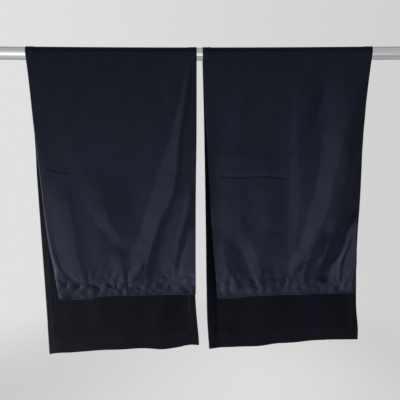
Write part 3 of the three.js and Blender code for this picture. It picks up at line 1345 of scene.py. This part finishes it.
RIGHT_CREASES = [
    Crease(Line((714, 780, 841, 925), (377, 381, 378, 384)), 2.6, width=4),
    Crease(Line((783, 815), (526, 525)), 1.6, width=3, above=4.5, fade=7),
    Crease(Line((892, 928), (563, 572)), 2.2, width=3, above=4.5, fade=7),
]
RIGHT = Curtain(
    name="curtain_right",
    front_left=Line((0, 140, 300, 460, 620, 705, 788), (658, 666, 673, 683, 694, 702, 709)),
    front_right=Line(
        (0, 140, 300, 460, 520, 565, 620, 788), (1177, 1167, 1164, 1165, 1163, 1160.5, 1163, 1167)
    ),
    back_left=Line(
        (0, 170, 420, 600, 750, 900, 960, 990), (657, 662, 667, 670, 672, 676, 680, 682)
    ),
    back_right=Line(
        (0, 170, 240, 480, 580, 750, 850, 920, 990),
        (1186, 1182, 1180, 1182, 1181, 1186, 1193, 1203, 1206),
    ),
    front_hem=Line((0, 0.13, 0.25, 0.38, 0.56, 1), (788, 788, 781, 779, 776, 772)),
    back_hem=Line(
        (0, 0.08, 0.21, 0.34, 0.46, 0.58, 0.69, 0.8, 1),
        (991, 987, 985, 982, 973, 969, 963, 960, 960),
    ),
    front_shapes=[*RIGHT_FOLDS, *RIGHT_DENTS, *RIGHT_CREASES],
    back_shapes=[
        Fold(Line((250, 900), (740, 730)), 80, 90, pitch=0.05, crown=30),
        Fold(Line((300, 920), (1090, 1110)), 100, 90, pitch=-0.04, crown=30),
        Fold(Line((150, 990), (655, 684)), 26, 30, pitch=-0.15, crown=4),
    ],
    seed=57,
)


# ---- Floor, light and camera ----


@dataclass(frozen=True)
class SoftBox:
    """A flat soft lamp that the viewer doesn't see."""

    name: str
    place: Point
    target: Point  # what it points at
    size: tuple[float, float]  # width and height in metres
    power: float  # in watts
    spread: float = 180.0  # how wide its beam is, in degrees
    mirrored: bool = False  # whether it shows in the steel

    def hang(self) -> None:
        """Hangs the lamp in the scene."""
        lamp = bpy.data.lights.new(self.name, "AREA")
        lamp.shape = "RECTANGLE"
        lamp.size, lamp.size_y = self.size
        lamp.energy = self.power
        lamp.spread = math.radians(self.spread)
        box = bpy.data.objects.new(self.name, lamp)
        box.location = self.place
        aim = Vector(self.target) - Vector(self.place)
        box.rotation_euler = aim.to_track_quat("-Z", "Y").to_euler()
        box.visible_camera = False
        box.visible_glossy = self.mirrored
        bpy.context.scene.collection.objects.link(box)


@dataclass(frozen=True)
class Studio:
    """A plain pale floor that fades into a plain pale surround, under soft light."""

    below: float = 0.9  # the floor's distance under the curtains, in metres
    floor_reach: float = 4.0
    backdrop: str = "d9d9da"
    ambient: float = 0.01
    painted_light_falloff: float = 0.16  # painted light: how much paler the backdrop is on the left than on the right, as if lit from the left
    falls_within: float = 0.4  # how far to each side it does so, where 1 is square to the view
    mirrored: float = 0.86  # strength of the surround that the steel mirrors, away from the glow
    glow: float = 1.7  # how much more of it there is in the middle of the glow
    glow_towards: Point = (-0.36, -0.84, -0.4)
    glow_focus: float = 6.0
    lamps: tuple[SoftBox, ...] = (
        # the key light grazes the cloth from the left, so that every fold shows
        SoftBox("key", (-5.0, -1.0, -1.6), (0.65, 0.0, -1.5), (1.0, 1.0), 53, 35, mirrored=True),
        SoftBox("fill", (0.65, -1.6, -1.35), (0.65, 0.0, -0.6), (3.0, 0.5), 22),
        SoftBox("low_fill", (0.65, -0.9, -1.4), (0.65, 0.0, -0.75), (2.4, 0.4), 5),
        SoftBox("overhead", (-0.6, 1.7, 2.2), (-0.6, 1.7, 0.0), (5.0, 2.6), 98),
        SoftBox("back", (1.6, 2.3, 0.3), (0.65, 0.0, -0.5), (1.8, 1.4), 45),
    )

    def build(self) -> None:
        """Builds the floor, the surround and the lights."""
        self.lay_floor()
        self.surround()
        for lamp in self.lamps:
            lamp.hang()

    def lay_floor(self) -> None:
        """Lays a round floor under the middle of the curtains."""
        low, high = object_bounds()
        centre = (low + high) / 2
        bpy.ops.mesh.primitive_circle_add(
            vertices=128,
            radius=self.floor_reach,
            fill_type="NGON",
            location=(centre.x, centre.y, low.z - self.below),
        )
        floor = bpy.context.object
        floor.name = "floor"
        floor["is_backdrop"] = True
        floor.data.materials.append(MattPaint().make())

    def surround(self) -> None:
        """Sets the surround: a backdrop where it is seen or mirrored, elsewhere a faint light."""
        world = bpy.data.worlds.new("surround")
        bpy.context.scene.world = world
        world.use_nodes = True
        tree = world.node_tree
        tree.nodes.clear()
        path = add_node(tree, "LightPath")
        camera = seen = path.outputs["Is Camera Ray"]
        for kind in ("Is Glossy Ray", "Is Transmission Ray"):
            rays = {"0": seen, "1": path.outputs[kind]}
            seen = add_node(tree, "Math", rays, operation="MAXIMUM").outputs["Value"]
        around = add_node(tree, "TexCoord").outputs["Generated"]
        parts = add_node(tree, "SeparateXYZ", {"Vector": around})
        left, right = 1 + self.painted_light_falloff / 2, 1 - self.painted_light_falloff / 2
        aside = {"From Min": -self.falls_within, "From Max": self.falls_within}
        falling = {"Value": parts.outputs["X"], **aside, "To Min": left, "To Max": right}
        behind = add_node(tree, "MapRange", falling).outputs["Result"]
        towards = {"0": around, "1": tuple(Vector(self.glow_towards).normalized())}
        near = add_node(tree, "VectorMath", towards, operation="DOT_PRODUCT").outputs["Value"]
        ahead = add_node(tree, "Math", {"0": near, "1": 0.0}, operation="MAXIMUM").outputs["Value"]
        focused = {"0": ahead, "1": self.glow_focus}
        core = add_node(tree, "Math", focused, operation="POWER").outputs["Value"]
        both = {"0": core, "1": self.glow, "2": self.mirrored}
        shining = add_node(tree, "Math", both, operation="MULTIPLY_ADD").outputs["Value"]
        strength = add_node(tree, "Mix", {"Factor": camera, "A": shining, "B": behind}).outputs[0]
        paint = linear_colour(self.backdrop)
        pale = add_node(tree, "Background", {"Strength": strength, "Color": paint}).outputs[0]
        white = {"Strength": self.ambient, "Color": (1, 1, 1, 1)}
        light = add_node(tree, "Background", white).outputs[0]
        mixed = add_node(tree, "MixShader", {"0": seen, "1": light, "2": pale})
        add_node(tree, "OutputWorld", {"Surface": mixed.outputs["Shader"]})


@dataclass(frozen=True)
class Camera:
    """The camera, in front of the middle of the rail and a little below it, tipped down."""

    distance: float = 1.2959
    below: float = 0.2578
    pitch: float = 8.93  # degrees below the horizontal
    field: float = 36.0  # sensor width and focal length alike, in millimetres
    nearest: float = 0.05

    def build(self, rail: Rail) -> None:
        """Sets the camera up.

        Args:
            rail: what it is placed by.
        """
        data = bpy.data.cameras.new("camera")
        data.sensor_width = self.field
        data.lens = self.field
        data.clip_start = self.nearest
        camera = bpy.data.objects.new("camera", data)
        camera.location = (rail.length / 2, -self.distance, -self.below)
        camera.rotation_euler = (math.radians(90 - self.pitch), 0, 0)
        bpy.context.scene.collection.objects.link(camera)
        bpy.context.scene.camera = camera


# ---- The whole ----


def main() -> None:
    """Builds the rail, both curtains, their stitching, and the studio round them."""
    logging.basicConfig(level=logging.INFO, format="%(message)s")
    bpy.context.scene.view_settings.view_transform = "Standard"
    Camera().build(RAIL)
    RAIL.build(PolishedSteel())
    finishes = [
        BlackoutCloth("navy_satin_weave", "1b1e27", "202430", 0.56, 0.04).make(),
        BlackoutCloth("dull_blackout_reverse", "05060c", "080a11", 0.8, 0.06).make(),
        # painted light: the turned edges are coloured a little lighter than the reverse, for the
        # light from the left that reaches the hem strips outside the front flap's shadow
        BlackoutCloth("turned_edge_with_painted_light", "07080e", "090b12", 0.78, 0.06).make(),
    ]
    thread = SewingThread().make()
    tails = [Line((776, 786, 795), (176, 178, 177)), Line((783, 790, 799), (188, 187, 190))]
    for curtain, loose in ((LEFT, tails), (RIGHT, [])):
        cloth = curtain.build(finishes)
        stitches = Stitching(curtain, tails=loose).build(thread)
    Studio().build()


if __name__ == "__main__":
    main()
